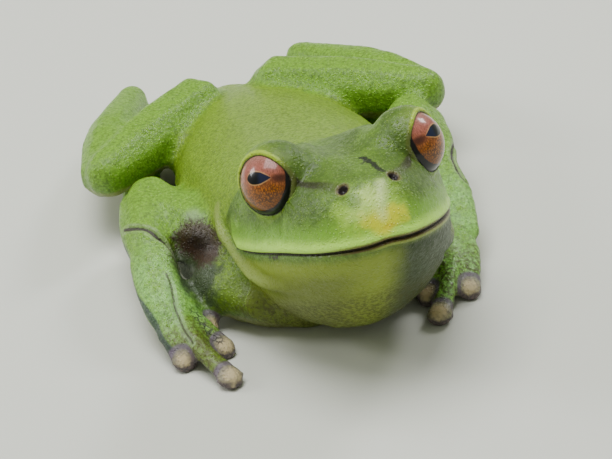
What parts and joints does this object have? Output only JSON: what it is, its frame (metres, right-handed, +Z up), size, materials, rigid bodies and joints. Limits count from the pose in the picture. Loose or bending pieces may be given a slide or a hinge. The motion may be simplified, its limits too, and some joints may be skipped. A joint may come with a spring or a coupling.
{
  "type": "tree frog",
  "caption": "Life-size still model of a green tree frog resting on the ground, head raised, limbs folded in, with copper eyes and rounded discs on its fingers and toes.",
  "frame": {"origin": "on the ground, under the middle of the frog's bounding box", "axes": "+Z up; the frog faces -Y, with its own right side on -X; +Y runs back to the heels"},
  "size_m": [0.04, 0.0654, 0.0226],
  "materials": {
    "body_skin": "moist, finely granular green skin",
    "throat_skin": "moist, granular pale olive skin",
    "digit_skin": "moist, grey-green skin",
    "eye": "wet, copper iris with a dark level pupil"
  },
  "bodies": {
    "root": {"eye_left": "eye", "eye_right": "eye", "finger_1_left": "digit_skin", "finger_1_right": "digit_skin", "finger_2_left": "digit_skin", "finger_2_right": "digit_skin", "finger_3_left": "digit_skin", "finger_3_right": "digit_skin", "finger_4_left": "digit_skin", "finger_4_right": "digit_skin", "foot_left": "digit_skin", "foot_right": "digit_skin", "forearm_left": "body_skin", "forearm_right": "body_skin", "hand_left": "digit_skin", "hand_right": "digit_skin", "head": "body_skin", "lower_jaw": "throat_skin", "shank_left": "body_skin", "shank_right": "body_skin", "tarsus_left": "digit_skin", "tarsus_right": "digit_skin", "thigh_left": "body_skin", "thigh_right": "body_skin", "toe_1_left": "digit_skin", "toe_1_right": "digit_skin", "toe_2_left": "digit_skin", "toe_2_right": "digit_skin", "toe_3_left": "digit_skin", "toe_3_right": "digit_skin", "toe_4_left": "digit_skin", "toe_4_right": "digit_skin", "toe_5_left": "digit_skin", "toe_5_right": "digit_skin", "trunk": "body_skin", "upper_arm_left": "body_skin", "upper_arm_right": "body_skin"}
  },
  "joints": []
}
